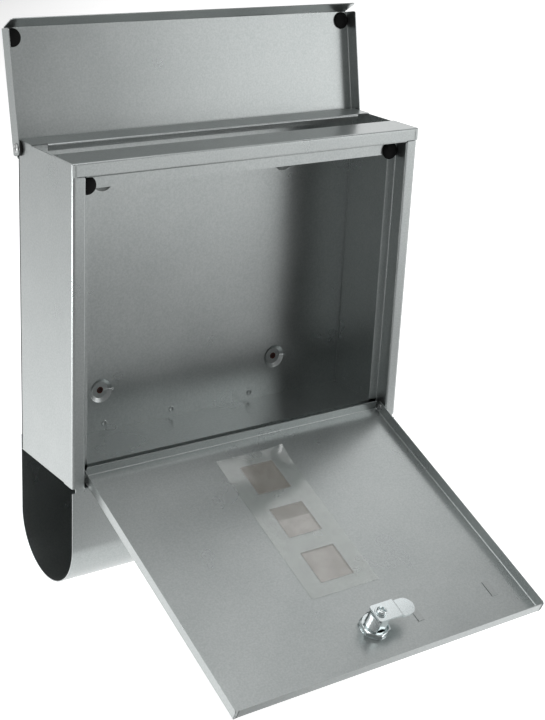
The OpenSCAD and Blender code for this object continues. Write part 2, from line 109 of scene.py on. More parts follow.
def outward(points, faces):
    """The faces, all turned over if the volume that they enclose comes out negative. The
    volume is the sum over triangles of corner . (corner x corner) / 6."""
    a, b, c, d = (points[faces[:, k]] for k in range(4))
    volume = (a * np.cross(b, c)).sum() + (a * np.cross(c, d)).sum()
    return faces if volume > 0 else faces[:, ::-1]


def weld(points, faces):
    """Points closer than a ten-thousandth of a millimetre made one."""
    _, first, back = np.unique(
        np.round(points, 4), axis=0, return_index=True, return_inverse=True)
    return points[first], back.reshape(-1)[faces]


def sheet_shell(middle, normal, keep=None, thickness=sheet):
    """Closed shell of a sheet given by its middle surface on a grid. The two sides lie half
    the thickness along the normal and against it. Each kept cell gives a face on both
    sides, and each side of it with no kept neighbour gives an edge face between them."""
    rows, cols = middle.shape[:2]
    if keep is None:
        keep = np.ones((rows - 1, cols - 1), bool)
    index = np.arange(rows * cols).reshape(rows, cols)
    a, b, c, d = index[:-1, :-1], index[1:, :-1], index[1:, 1:], index[:-1, 1:]
    other = rows * cols
    faces = [np.stack([a, b, c, d], 2)[keep],
             np.stack([d, c, b, a], 2)[keep] + other]
    framed = np.pad(keep, 1)
    for p, q, i, j in ((a, b, 1, 0), (b, c, 2, 1), (c, d, 1, 2), (d, a, 0, 1)):
        bare = keep & ~framed[i:i + rows - 1, j:j + cols - 1]
        faces.append(np.stack([q, p, p + other, q + other], 2)[bare])
    points = np.concatenate([(middle + normal * thickness / 2).reshape(-1, 3),
                             (middle - normal * thickness / 2).reshape(-1, 3)])
    points, faces = weld(points, np.concatenate(faces))
    return points, outward(points, faces)


def skin(grid):
    """Closed surface from a grid whose rows and columns run all the way round or end at a
    pole: neighbouring points joined by faces and equal points made one."""
    rows, cols = grid.shape[:2]
    index = np.arange(rows * cols).reshape(rows, cols)
    faces = np.stack([index[:-1, :-1], index[1:, :-1], index[1:, 1:], index[:-1, 1:]], 2)
    points, faces = weld(grid.reshape(-1, 3), faces.reshape(-1, 4))
    return points, outward(points, faces)


def piece(name, shells, material, body, nodes=(), sharp=35):
    """One mesh object from closed shells in millimetres, smooth except where two faces meet
    at more than the sharp angle. Quads with two equal corners become triangles."""
    points, quads, start = [], [], 0
    for p, f in shells:
        points.append(p)
        quads.append(f + start)
        start += len(p)
    points, quads = np.concatenate(points) * MM, np.concatenate(quads)
    same = quads == np.roll(quads, -1, 1)
    whole = quads[~same.any(1)]
    cut = [np.delete(quads[same[:, k] & (same.sum(1) == 1)], k, 1) for k in range(4)]
    used, back = np.unique(np.concatenate([whole.ravel()] + [t.ravel() for t in cut]),
                           return_inverse=True)
    sizes = np.cumsum([whole.size] + [t.size for t in cut])
    parts = np.split(back.reshape(-1), sizes[:-1])
    faces = parts[0].reshape(-1, 4).tolist()
    for t in parts[1:]:
        faces += t.reshape(-1, 3).tolist()
    mesh = bpy.data.meshes.new(name)
    mesh.from_pydata(points[used], [], faces)
    mesh.polygons.foreach_set("use_smooth", np.ones(len(mesh.polygons), bool))
    mesh.set_sharp_from_angle(angle=math.radians(sharp))
    mesh.materials.append(material)
    made = bpy.data.objects.new(name, mesh)
    bpy.context.scene.collection.objects.link(made)
    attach(made, body)
    if nodes:
        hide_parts(*nodes)
    return made


def colour(code):
    """Linear colour of an sRGB one written as six hexadecimal digits. Each channel c is
    c / 12.92 in the dark and ((c + 0.055) / 1.055) to the power 2.4 above that."""
    c = np.array([int(code[k:k + 2], 16) for k in (0, 2, 4)]) / 255
    c = np.where(c <= 0.04045, c / 12.92, ((c + 0.055) / 1.055) ** 2.4)
    return (*c.tolist(), 1.0)


def add(material, kind, inputs=None, **settings):
    """A shader node with its settings. An input's value is a constant or another node's
    output, given as a socket or as a pair of node and output name."""
    tree = material.node_tree
    node = tree.nodes.new("ShaderNode" + kind)
    for key, value in settings.items():
        setattr(node, key, value)
    for key, value in (inputs or {}).items():
        if isinstance(value, tuple) and isinstance(value[0], bpy.types.Node):
            value = value[0].outputs[value[1]]
        if isinstance(value, bpy.types.NodeSocket):
            tree.links.new(value, node.inputs[key])
        else:
            node.inputs[key].default_value = value
    return node


def blank(name):
    """An empty node material with an output, and its object coordinates."""
    material = bpy.data.materials.new(name)
    material.use_nodes = True
    material.node_tree.nodes.clear()
    add(material, "OutputMaterial", name="out")
    return material, (add(material, "TexCoord"), "Object")


def surface(material, node, output="BSDF"):
    """Joins a shader to the material's output."""
    out = material.node_tree.nodes["out"]
    material.node_tree.links.new(node.outputs[output], out.inputs["Surface"])
    return material


def silver_coat(name, dark, light):
    """Satin silver powder coat on sheet steel: aluminium flakes under a thin clear binder.
    It gives soft wide reflections, a very fine sparkle and a faint orange peel. The flakes
    are drawn 1.6 mm apart, coarser than real ones, so that they show."""
    m, place = blank(name)
    cloud = add(m, "TexNoise", {"Vector": place, "Scale": 14.0, "Detail": 3.0,
                                "Roughness": 0.55})
    flake = add(m, "TexNoise", {"Vector": place, "Scale": 620.0, "Detail": 1.0,
                                "Roughness": 0.5})
    peel = add(m, "TexNoise", {"Vector": place, "Scale": 260.0, "Detail": 1.0})
    tone = add(m, "MapRange", {"Value": (cloud, "Fac"), "From Min": 0.3, "From Max": 0.7,
                               "To Min": 0.42, "To Max": 0.58})
    spark = add(m, "MapRange", {"Value": (flake, "Fac"), "From Min": 0.3,
                                "From Max": 0.7, "To Min": -0.14, "To Max": 0.14})
    both = add(m, "Math", {0: (tone, "Result"), 1: (spark, "Result")}, operation="ADD")
    paint = add(m, "MixRGB", {"Fac": (both, "Value"), "Color1": colour(dark),
                              "Color2": colour(light)})
    rough = add(m, "MapRange", {"Value": (cloud, "Fac"), "From Min": 0.3,
                                "From Max": 0.7, "To Min": 0.27, "To Max": 0.3})
    grain = add(m, "Bump", {"Height": (peel, "Fac"), "Strength": 0.05,
                            "Distance": 0.00004})
    return surface(m, add(m, "BsdfPrincipled", {
        "Base Color": (paint, "Color"), "Metallic": 0.93, "Roughness": (rough, "Result"),
        "Normal": (grain, "Normal"), "Coat Weight": 0.15, "Coat Roughness": 0.12}))


silver = silver_coat("silver_powder_coat", "9BA1A1", "C6CAC9")

strip_y = back_low[1]
SLOT_LIP = 6.0
LIP_INSET = 15.0
FOOT = 12.0
OPENING_X = side_x - 12.5
SCREW_X, SCREW_Z = 100.0, 103.0
PATCH = 14.0
panel_y = back_y - 3 * half


def carried(line, normal, along, axes):
    """A profile carried straight along a third axis: the grid has the profile's points as
    rows and the positions along as columns. axes says which two axes the profile is in."""
    a, b = axes
    c = 3 - a - b
    shape = (len(line), len(along), 3)
    p, n = np.zeros(shape), np.zeros(shape)
    p[..., a], p[..., b], p[..., c] = line[:, :1], line[:, 1:], along[None]
    n[..., a], n[..., b] = normal[:, :1], normal[:, 1:]
    return p, n


def around(radius, height, angle):
    """Grid of points at these radii and heights, carried to these angles round an axis."""
    return np.stack(np.broadcast_arrays(radius * np.cos(angle), radius * np.sin(angle),
                                        height), 2)


def pressed_ring(steps_in, place, square):
    """A round feature pressed in a square patch of the sheet: the profile of radius and
    depth goes round its axis, and the outermost ring lies on the square instead of on a
    circle, where the radius at an angle is the half side over the larger of |cos|, |sin|."""
    line, normal = steps_in
    angle = np.linspace(0, 2 * math.pi, 65)
    r = np.repeat(line[:, :1], len(angle), 1)
    r[0] = square / np.maximum(np.abs(np.cos(angle)), np.abs(np.sin(angle)))
    return sheet_shell(place(around(r, line[:, 1:], angle)),
                       place(around(normal[:, :1], normal[:, 1:], angle), True))


def at_screw(x, z):
    """Puts points of a dimple, drawn with its depth along the third axis, on the panel."""
    def place(p, direction=False):
        shift = 0 if direction else np.array([x, panel_y, z])
        return p[..., [0, 2, 1]] + shift
    return place


line, normal = fold([(strip_y + half, top_z - SLOT_LIP), (strip_y + half, top_z - half),
                     (panel_y, top_z - half), (panel_y, low_z + half),
                     (panel_y - FOOT, low_z + half)])
# rows at the edges of the dimples' patches are put into the flat of the wall
edges = np.array([SCREW_Z + PATCH, SCREW_Z - PATCH, PATCH - SCREW_Z, -PATCH - SCREW_Z])
split = int(np.argmax(line[:, 1] < 0))
line = np.insert(line, split, np.stack([np.full(4, panel_y), edges], 1), 0)
normal = np.insert(normal, split, [[1.0, 0.0]] * 4, 0)
xs = grid_lines(side_x, wall_in, OPENING_X, side_x - LIP_INSET, SCREW_X + PATCH,
                SCREW_X - PATCH)
row_y, row_z = mid(line[:, 0]), mid(line[:, 1])
width = np.where((row_y < strip_y + half + BEND) & (row_z > 0), side_x - LIP_INSET,
                 np.where(row_z > top_z - half - BEND, side_x,
                          np.where(row_z < low_z + half + BEND, OPENING_X, wall_in)))
keep = np.abs(mid(xs))[None] < width[:, None]
in_patch = (np.abs(np.abs(mid(xs)) - SCREW_X) < PATCH)[None] & (
    (np.abs(np.abs(row_z) - SCREW_Z) < PATCH) & (row_y > back_y - 4))[:, None]
keep &= ~in_patch
middle, facing = carried(line, normal, xs, (1, 2))
shells = [sheet_shell(middle, facing, keep)]
dimple = fold([(PATCH, 0), (11.9, 0), (8.4, 2), (3.35, 2)], radius=1.1, ease=0.2)
for x in (-SCREW_X, SCREW_X):
    for z in (-SCREW_Z, SCREW_Z):
        shells.append(pressed_ring(dimple, at_screw(x, z), PATCH))
piece("back_panel_folded", shells, silver, "mailbox_body", ["back_panel"])

# ---- Side walls ----
# The two outer walls. Each is bent round the front corner, where its edge is dressed
# flush with the front frame, turned in at the rear, and turned in under the floor.

EDGE = 11.0
LAP = 15.0
UNDER = 1.8
CORNER = 2.3
FLUSH = side_x - 3.2
recess_y = floor_low[1]
for name, side in (("left", -1), ("right", 1)):
    line, normal = fold([(side_x - EDGE, back_y - half), (side_x - half, back_y - half),
                         (side_x - half, front_y + half), (FLUSH, front_y + half)],
                        radius=CORNER)
    # one more line across the wall where the floor's turned edge begins
    turn_row = int(np.argmax(line[:, 1] < (front_y + back_y) / 2))
    line = np.insert(line, turn_row, [[side_x - half, back_y - 4 * half],
                                      [side_x - half, recess_y]], 0)
    normal = np.insert(normal, turn_row, [[1.0, 0.0]] * 2, 0)
    zs = np.array([low_z, low_z + UNDER, low_z + LAP + 0.6, top_z - sheet - 0.1])
    middle, facing = carried(line, normal, zs, (0, 1))
    row_x, row_y = mid(line[:, 0]), mid(line[:, 1])
    keep = np.ones((len(line) - 1, 3), bool)
    turned_in = row_x < side_x - 2 * sheet
    keep[turned_in, :2] &= (row_y[turned_in] < front_y + 2)[:, None]
    keep[(row_y > recess_y) & ~turned_in, 0] = False
    under, under_n = fold([(side_x - half, low_z + UNDER), (side_x - half, low_z + half),
                           (side_x - EDGE, low_z + half)], radius=0.8, ease=0.2)
    u_mid, u_n = carried(under, under_n, np.array([recess_y, back_y - 4 * half]), (0, 2))
    u_n = -u_n if u_n[0, 0, 0] < 0 else u_n
    flip = np.array([side, 1, 1])
    shells = [sheet_shell(middle * flip, facing * flip, keep),
              sheet_shell(u_mid * flip, u_n * flip)]
    piece("side_wall_folded_" + name, shells, silver, "mailbox_body",
          ["side_wall_" + name])

# ---- Front frame and newspaper tube ----
# One sheet makes the front frame, the apron below it, the open tube bent to half a
# circle, and the lap spot welded behind the back panel. The frame's inner edges are
# bent back and in again, which makes the stop that the door closes on.

RECESS = 16.0
STOP_W = 10.0
LOW_STOP = 14.0
stop_y = front_y + RECESS
rail_low, rail_high = box_mm("top_rail")
tube_r = (back_y - front_y) / 2 - half
tube_y = (back_y + front_y) / 2
tube_z = front_low[2] + tube_r + half
fold_z = low_z - 1.0 - half
STILE_TOP = opening_top + 1.0
APRON_TOP = fold_z - 2.6
STILE_X = OPENING_X + 5.0
angle = np.linspace(0, math.pi, 49)
arc = np.stack([tube_y + tube_r * np.cos(angle), tube_z - tube_r * np.sin(angle)], 1)
arc_n = np.stack([np.cos(angle), -np.sin(angle)], 1)
line = np.vstack([[(back_y - half, low_z + LAP), (back_y - half, low_z)], arc,
                  [(front_y + half, APRON_TOP), (front_y + half, STILE_TOP)]])
normal = np.vstack([[(1, 0), (1, 0)], arc_n, [(-1, 0), (-1, 0)]])
xs = grid_lines(side_x, FLUSH, STILE_X)
middle, facing = carried(line, normal, xs, (1, 2))
keep = np.ones((len(line) - 1, len(xs) - 1), bool)
keep[-1] = (np.abs(mid(xs)) > STILE_X) & (np.abs(mid(xs)) < FLUSH)
shells = [sheet_shell(middle, facing, keep)]
# sill below the door: back from the apron, and up to the stop
line, normal = fold([(front_y + half, APRON_TOP), (front_y + half, fold_z),
                     (stop_y - half, fold_z), (stop_y - half, low_z + LOW_STOP)])
middle, facing = carried(line, normal, np.array([-OPENING_X, OPENING_X]), (1, 2))
shells.append(sheet_shell(middle, facing))
# jambs beside the door: back from the stile, and in to the stop
for side in (-1, 1):
    line, normal = fold([(STILE_X, front_y + half), (OPENING_X + half, front_y + half),
                         (OPENING_X + half, stop_y - half),
                         (OPENING_X - STOP_W, stop_y - half)])
    zs = np.array([APRON_TOP, fold_z + 0.6, rail_low[2], opening_top - 0.1, STILE_TOP])
    middle, facing = carried(line, normal, zs, (0, 1))
    row_x = mid(line[:, 0])
    keep = np.ones((len(line) - 1, len(zs) - 1), bool)
    # below the sill's fold and above the opening only the stile's face is left, and the
    # top rail takes the place of the stop behind its own height
    keep[row_x < OPENING_X + 1.4, 0] = False
    keep[row_x < OPENING_X + 1.4, 3] = False
    keep[row_x < OPENING_X + 0.3, 2] = False
    flip = np.array([side, 1, 1])
    shells.append(sheet_shell(middle * flip, facing * flip, keep))
piece("front_frame_and_tube", shells, silver, "mailbox_body", ["front_and_tube_sheet"])

# ---- Top rail ----
# The front strip of the top, the face above the door and the upper door stop, folded
# in one and spot welded to the side walls.

line, normal = fold([(stop_y - half, rail_low[2]), (stop_y - half, opening_top + half),
                     (front_y + half, opening_top + half), (front_y + half, top_z - half),
                     (rail_high[1], top_z - half)])
xs = grid_lines(side_x, OPENING_X - 0.2)
middle, facing = carried(line, normal, xs, (1, 2))
keep = np.ones((len(line) - 1, len(xs) - 1), bool)
keep[mid(line[:, 1]) < opening_top + 1.6] = np.abs(mid(xs)) < OPENING_X - 0.2
piece("top_rail_folded", [sheet_shell(middle, facing, keep)], silver, "mailbox_body",
      ["top_rail"])

# ---- Floor and spot welds ----
# A flat plate on the turned edges of the walls. It is held by spot welds, which show as
# shallow round dents with a slightly raised rim in the floor, the back and the right wall.


def dress(node, material):
    """Gives a CAD node that is shown as it is its material."""
    mesh = frame["nodes"][node].data
    mesh.materials.clear()
    mesh.materials.append(material)


dress("floor_plate", silver)

angle = np.linspace(0, 2 * math.pi, 33)
weld_r = np.array([0, 1.6, 2.1, 2.5, 2.9, 3.2, 3.2, 0])
weld_h = np.array([0.05, 0.06, 0.22, 0.25, 0.12, 0.02, -0.3, -0.3])
dent = around(weld_r[:, None], weld_h[:, None], angle)
inner_back = back_y - 2 * sheet
WELDS_X, WELDS_Y = (-96, -21, 71), (-28, -56)
welds = [skin(dent[..., [0, 2, 1]] * (1, -1, 1) + (x, inner_back, floor_high[2] + 7))
         for x in WELDS_X]
welds += [skin(dent + (x - 8, back_y - 9, floor_high[2])) for x in WELDS_X]
welds += [skin(dent[..., [2, 1, 0]] * (-1, 1, 1) + (wall_in, y, floor_high[2] + 5))
          for y in WELDS_Y]
piece("spot_welds", welds, silver, "mailbox_body")

# ---- Wall spacers ----
# Brown polyethylene plugs pushed through the dimples from behind. The screws go through
# them, and they hold the box off the wall so that the lid's rear edge can swing down.


def plastic(name, dark, light, roughness, mark, scale):
    """Moulded plastic or rubber: a nearly even colour with faint cloudy mould flow, and a
    fine grain in the surface."""
    m, place = blank(name)
    flow = add(m, "TexNoise", {"Vector": place, "Scale": scale, "Detail": 4.0,
                               "Roughness": 0.6})
    grain = add(m, "TexNoise", {"Vector": place, "Scale": 2500.0, "Detail": 1.0})
    tone = add(m, "MixRGB", {"Fac": (flow, "Fac"), "Color1": colour(dark),
                             "Color2": colour(light)})
    rough = add(m, "MapRange", {"Value": (flow, "Fac"), "To Min": roughness - 0.08,
                                "To Max": roughness + 0.08})
    bump = add(m, "Bump", {"Height": (grain, "Fac"), "Strength": mark,
                           "Distance": 0.00005})
    return surface(m, add(m, "BsdfPrincipled", {
        "Base Color": (tone, "Color"), "Roughness": (rough, "Result"),
        "Normal": (bump, "Normal"), "Specular IOR Level": 0.22}))


def turned(profile, place, steps=48):
    """A profile of radius and height carried once round its axis, then put in place."""
    p = np.array(profile, float)
    angle = np.linspace(0, 2 * math.pi, steps + 1)
    return skin(place(around(p[:, :1], p[:, 1:], angle)))


brown = plastic("brown_polyethylene", "3A211C", "57332B", 0.5, 0.2, 300.0)
SPACER_R, NECK_R, BORE_R = 7.5, 3.2, 2.3
base = 2.0 + sheet
depth = -inner_back
spacer = [(BORE_R, 1.7), (BORE_R + 0.2, 1.55), (NECK_R - 0.25, 1.55), (NECK_R, 1.75),
          (NECK_R, base), (SPACER_R - 0.4, base), (SPACER_R, base + 0.4),
          (SPACER_R, depth - 0.4), (SPACER_R - 0.4, depth), (BORE_R + 0.3, depth),
          (BORE_R, depth - 0.3), (BORE_R, 1.7)]
piece("wall_spacer_plugs",
      [turned(spacer, lambda p, x=x, z=z: p[..., [0, 2, 1]] + (x, inner_back, z))
       for x in (-SCREW_X, SCREW_X) for z in (-SCREW_Z, SCREW_Z)],
      brown, "mailbox_body", ["wall_spacers"])

# ---- Rubber bumpers on the door stop ----
# Two black domes, moulded with a low rim and stuck in the upper corners of the stop.

rubber = plastic("black_rubber_moulded", "060606", "0F0F10", 0.75, 0.5, 400.0)


def dome(radius, height):
    """Profile of a rubber dome: an upright rim, then an ellipse quarter to the top."""
    t = np.linspace(0, math.pi / 2, 14)
    rim = height * 0.32
    top = np.stack([radius * np.cos(t), rim + (height - rim) * np.sin(t)], 1)
    return np.vstack([[(0, 0), (radius - 0.3, 0), (radius, 0.3)], top[:-1], [(0, height)]])


bump_low, bump_high = box_mm("frame_bumpers")
BUMPER_R = 8.0
bump_x, bump_z = bump_high[0] - BUMPER_R, (bump_low[2] + bump_high[2]) / 2
bump_h = bump_high[1] - bump_low[1]
piece("frame_bumper_domes",
      [turned(dome(BUMPER_R, bump_h),
              lambda p, x=x: p[..., [0, 2, 1]] * (1, -1, 1) + (x, bump_high[1], bump_z))
       for x in (-bump_x, bump_x)],
      rubber, "mailbox_body", ["frame_bumpers"])

# ---- Door ----
# The front door, folded from one sheet with four turned edges and three square windows.
# It is drawn open, turned about the two pins that its lower corners hang on.


def turn_x(p, degrees, y, z, direction=False):
    """Points turned about a line along X through y, z. A direction keeps no shift."""
    a = math.radians(degrees)
    at = np.array([0, 0, 0] if direction else [0, y, z], float)
    q = p - at
    out = np.stack([q[..., 0], q[..., 1] * math.cos(a) - q[..., 2] * math.sin(a),
                    q[..., 1] * math.sin(a) + q[..., 2] * math.cos(a)], -1)
    return out + at


door_joint = next(j for j in frame["joints"] if j["name"] == "door_hinge")
PIN_Y, PIN_Z = (np.array(door_joint["pos_m"]) / MM)[1:]
DOOR_TURN = max(door_joint["range_deg"])
DOOR_X, DOOR_LOW, DOOR_H, DOOR_EDGE = OPENING_X - 2.3, low_z + 3, 274.0, 11.0
DOOR_TOP = DOOR_LOW + DOOR_H
LOCK_Z = DOOR_TOP - 37.6
WINDOW, WINDOW_FIRST, WINDOW_PITCH = 34.5, 51.4, 54.6
HOLDER_X, HOLDER_W, TAB_L = 91.5, 81.0, 17.0
LOCK_PATCH = 16.0


def door_open(p, direction=False):
    """Turns the shut door's points to the open door."""
    return turn_x(p, DOOR_TURN, PIN_Y, PIN_Z, direction)


def in_flat(line, normal, values, level):
    """Puts points at these positions into the flat leg at this level of a folded profile."""
    k = int(np.flatnonzero(np.abs(line[:, 1] - level) < 1e-6).max())
    line = np.insert(line, k, np.stack([values, np.full(len(values), level)], 1), 0)
    normal = np.insert(normal, k, normal[k:k + 1].repeat(len(values), 0), 0)
    flat = np.abs(line[:, 1] - level) < 1e-6
    line[flat] = line[flat][np.argsort(line[flat][:, 0], kind="stable")]
    return line, normal


level = front_y + half
# profile across the door, as x and depth
cross, cross_n = fold([(-DOOR_X + half, front_y + DOOR_EDGE), (-DOOR_X + half, level),
                       (DOOR_X - half, level), (DOOR_X - half, front_y + DOOR_EDGE)])
slots = [HOLDER_X + s * HOLDER_W / 2 + d for s in (-1, 1) for d in (-0.45, 0.45)]
RELIEF = DOOR_X - 3.5
lines_x = np.array([s * v for s in (-1, 1) for v in (RELIEF, RELIEF + 0.1, WINDOW / 2,
                                                     LOCK_PATCH)] + slots)
cross, cross_n = in_flat(cross, -cross_n, lines_x, level)
# profile up the door, as height and depth, drawn round its middle
centre_z = (DOOR_LOW + DOOR_TOP) / 2
rise, rise_n = fold([(-DOOR_H / 2 + half, front_y + DOOR_EDGE), (-DOOR_H / 2 + half, level),
                     (DOOR_H / 2 - half, level), (DOOR_H / 2 - half, front_y + DOOR_EDGE)])
windows_z = DOOR_LOW + WINDOW_FIRST + WINDOW_PITCH * np.arange(3)
ends = DOOR_H / 2 - np.array([2.3, 2.8, 3.4])
lines_z = np.concatenate([windows_z - WINDOW / 2, windows_z + WINDOW / 2,
                          [LOCK_Z - LOCK_PATCH, LOCK_Z + LOCK_PATCH,
                           LOCK_Z - TAB_L / 2, LOCK_Z + TAB_L / 2]]) - centre_z
lines_z = np.concatenate([lines_z, ends, -ends])
rise, rise_n = in_flat(rise, -rise_n, lines_z, level)
x, z = cross[:, 0], rise[:, 0] + centre_z
depth_x, depth_z = cross[:, 1] - level, rise[:, 1] - level
# the side edges are rounded off at their two ends
EDGE_R = 2.5
left_over = np.clip(DOOR_H / 2 - half - np.abs(rise[:, 0]), 0, EDGE_R)
full = DOOR_EDGE - half
shorter = (full - EDGE_R + np.sqrt(EDGE_R ** 2 - (EDGE_R - left_over) ** 2)) / full
shape = (len(x), len(z))
scale = np.where((depth_x > BEND + 0.01)[:, None], shorter[None], 1.0)
middle = np.stack([np.broadcast_to(x[:, None], shape),
                   level + depth_x[:, None] * scale
                   + np.where(np.abs(x) < RELIEF + 0.05, 1.0, 0.0)[:, None] * depth_z[None],
                   np.broadcast_to(z[None], shape)], 2)
bent_z = np.abs(mid(rise[:, 0])) > DOOR_H / 2 - half - BEND
turned_z = mid(depth_z) > BEND
facing = np.zeros((*shape, 3))
facing[..., 1] = -1
side_rows = np.abs(cross_n[:, 0]) > 1e-6
facing[side_rows] = np.stack([cross_n[side_rows, 0], cross_n[side_rows, 1],
                              np.zeros(side_rows.sum())], 1)[:, None]
top_cols = np.abs(rise_n[:, 0]) > 1e-6
within = np.abs(x) < RELIEF + 0.05
facing[np.ix_(within, top_cols)] = np.stack(
    [np.zeros(top_cols.sum()), rise_n[top_cols, 1], rise_n[top_cols, 0]], 1)[None]
keep = ~((np.abs(mid(x)) > RELIEF)[:, None] & turned_z[None])
keep &= ~((np.abs(np.abs(mid(x)) - RELIEF - 0.05) < 0.04)[:, None] & bent_z[None])
mz = mid(z)
for window in windows_z:
    keep &= ~((np.abs(mid(x)) < WINDOW / 2)[:, None] & (np.abs(mz - window) < WINDOW / 2))
keep &= ~((np.abs(mid(x)) < LOCK_PATCH)[:, None] & (np.abs(mz - LOCK_Z) < LOCK_PATCH))
for s in (-1, 1):
    keep &= ~((np.abs(mid(x) - HOLDER_X - s * HOLDER_W / 2) < 0.45)[:, None]
              & (np.abs(mz - LOCK_Z) < TAB_L / 2))
lock_ring = (np.array([(LOCK_PATCH, 0), (14, 0), (9.7, 0)], float),
             np.array([(0, 1)] * 3, float))


def at_lock(p, direction=False):
    """Puts points of the lock's hole, drawn flat, on the open door."""
    shift = 0 if direction else np.array([0, level, LOCK_Z])
    return door_open(p[..., [0, 2, 1]] + shift, direction)


piece("door_folded", [sheet_shell(door_open(middle), door_open(facing, True), keep),
                      pressed_ring(lock_ring, at_lock, LOCK_PATCH)],
      silver, "door", ["door_tray"])

# ---- Hinge pins of the door ----
# Two steel pins pressed into the stiles. Each ends in a flat head inside the door's
# turned edge, which keeps the door on it.


def plated(name, dark, light, roughness, scale):
    """Plated or bare metal turned or stamped: bright, with faint tool marks round or along
    it and small cloudy changes in the plating."""
    m, place = blank(name)
    cloud = add(m, "TexNoise", {"Vector": place, "Scale": scale, "Detail": 4.0,
                                "Roughness": 0.6})
    marks = add(m, "TexNoise", {"Vector": place, "Scale": scale * 6, "Detail": 2.0})
    tone = add(m, "MixRGB", {"Fac": (cloud, "Fac"), "Color1": colour(dark),
                             "Color2": colour(light)})
    rough = add(m, "MapRange", {"Value": (cloud, "Fac"), "From Min": 0.3, "From Max": 0.7,
                                "To Min": roughness - 0.04, "To Max": roughness + 0.06})
    bump = add(m, "Bump", {"Height": (marks, "Fac"), "Strength": 0.12,
                           "Distance": 0.00004})
    return surface(m, add(m, "BsdfPrincipled", {
        "Base Color": (tone, "Color"), "Metallic": 1.0, "Roughness": (rough, "Result"),
        "Normal": (bump, "Normal")}))


rivet_steel = plated("rivet_steel_nickelled", "9A9C9C", "C4C6C6", 0.26, 500.0)


def along_x(x, y, z, side=1):
    """Puts a turned piece's axis along X, its heights growing outwards on that side."""
    return lambda p: p[..., [2, 1, 0]] * (side, 1, 1) + (side * x, y, z)


PIN_R, PIN_HEAD_R = 2.0, 3.5
head_in = DOOR_X - sheet - 0.1 - 1.2
pin_end = box_mm("door_hinge_pins")[1][0]
pin = [(0, 0), (PIN_HEAD_R - 0.4, 0), (PIN_HEAD_R, 0.4), (PIN_HEAD_R, 1.2), (PIN_R, 1.2),
       (PIN_R, pin_end - 1 - head_in), (PIN_HEAD_R, pin_end - 1 - head_in),
       (PIN_HEAD_R, pin_end - 0.3 - head_in), (PIN_HEAD_R - 0.3, pin_end - head_in),
       (0, pin_end - head_in)]
piece("door_pins_turned", [turned(pin, along_x(head_in, PIN_Y, PIN_Z, s)) for s in (-1, 1)],
      rivet_steel, "mailbox_body", ["door_hinge_pins"])

# ---- Window film ----
# One sheet of clear PVC over the three windows, stuck down along its edges. It lies a
# little wavy, and its corner nearest the hinge has come up. Over the windows, where
# nothing backs it, it carries painted shade: a brown-grey milky layer that stands for
# the dim space seen through them.

FILM_W, FILM_H, FILM_T = 74.0, 172.0, 0.3
film_mid = windows_z[1]
u = np.unique(np.round(np.concatenate([np.linspace(-FILM_W / 2, FILM_W / 2, 38),
                                       [-WINDOW / 2, WINDOW / 2]]), 4))
v = np.unique(np.round(np.concatenate([np.linspace(-FILM_H / 2, FILM_H / 2, 80) + film_mid,
                                       windows_z - WINDOW / 2, windows_z + WINDOW / 2]), 4))
U, V = np.meshgrid(u, v, indexing="ij")
# height over the steel: low waves, plus a curl that grows towards the corner
WAVE_H, CURL_R, CURL_H, FILM_GAP = 0.12, 26.0, 3.4, 0.08
wave = WAVE_H * (1 + np.sin(U / 9.0 + 1.1 * np.sin(V / 31.0)) * np.cos(V / 23.0 + 0.6))
curl = np.clip(1 - np.hypot(U - FILM_W / 2, (V - v[0]) * 0.8) / CURL_R, 0, 1) ** 2 * CURL_H
film_y = front_y + sheet + FILM_T / 2 + FILM_GAP + wave + curl
film = np.stack([U, film_y, V], 2)
across, upward = np.gradient(film, axis=0), np.gradient(film, axis=1)
film_n = np.cross(upward, across)
film_n /= np.linalg.norm(film_n, axis=2)[..., None]
film_n *= np.sign(film_n[..., 1:2])


def clear_sheet(name, window_shade_colour, haze, window_shade_amount):
    """Clear PVC or styrene: light goes through, its gloss grows towards grazing angles, and
    a little milky haze hides what is behind. An attribute marks where a stronger layer of
    the window shade colour is laid on, a painted shade for what is seen through it."""
    m, place = blank(name)
    smear = add(m, "TexNoise", {"Vector": place, "Scale": 60.0, "Detail": 3.0})
    spread = add(m, "MapRange", {"Value": (smear, "Fac"), "From Min": 0.3, "From Max": 0.7,
                                 "To Min": haze * 0.6, "To Max": haze * 1.4})
    over = add(m, "Attribute", attribute_name="over_window")
    patch = add(m, "Math", {0: (over, "Fac"), 1: window_shade_amount}, operation="MULTIPLY")
    total = add(m, "Math", {0: (spread, "Result"), 1: (patch, "Value")}, operation="ADD")
    # painted shade: where the attribute marks, the milky layer turns to the window shade colour
    haze_and_painted_shade = add(m, "MixRGB", {"Fac": (over, "Fac"), "Color1": colour("DDE0E0"),
                             "Color2": colour(window_shade_colour)})
    clear = add(m, "BsdfTransparent", {"Color": colour("FDFEFD")})
    haze_and_shade_layer = add(m, "BsdfDiffuse", {"Color": (haze_and_painted_shade, "Color")})
    body = add(m, "MixShader", {"Fac": (total, "Value"), 1: (clear, "BSDF"),
                                2: (haze_and_shade_layer, "BSDF")})
    gloss = add(m, "BsdfGlossy", {"Roughness": 0.09, "Color": (0.9, 0.9, 0.9, 1)})
    facing = add(m, "LayerWeight", {"Blend": 0.5})
    grazing = add(m, "Math", {0: (facing, "Facing"), 1: 4.0}, operation="POWER")
    edge = add(m, "MapRange", {"Value": (grazing, "Value"), "To Min": 0.08, "To Max": 0.7})
    return surface(m, add(m, "MixShader", {"Fac": (edge, "Result"), 1: (body, "Shader"),
                                           2: (gloss, "BSDF")}), "Shader")
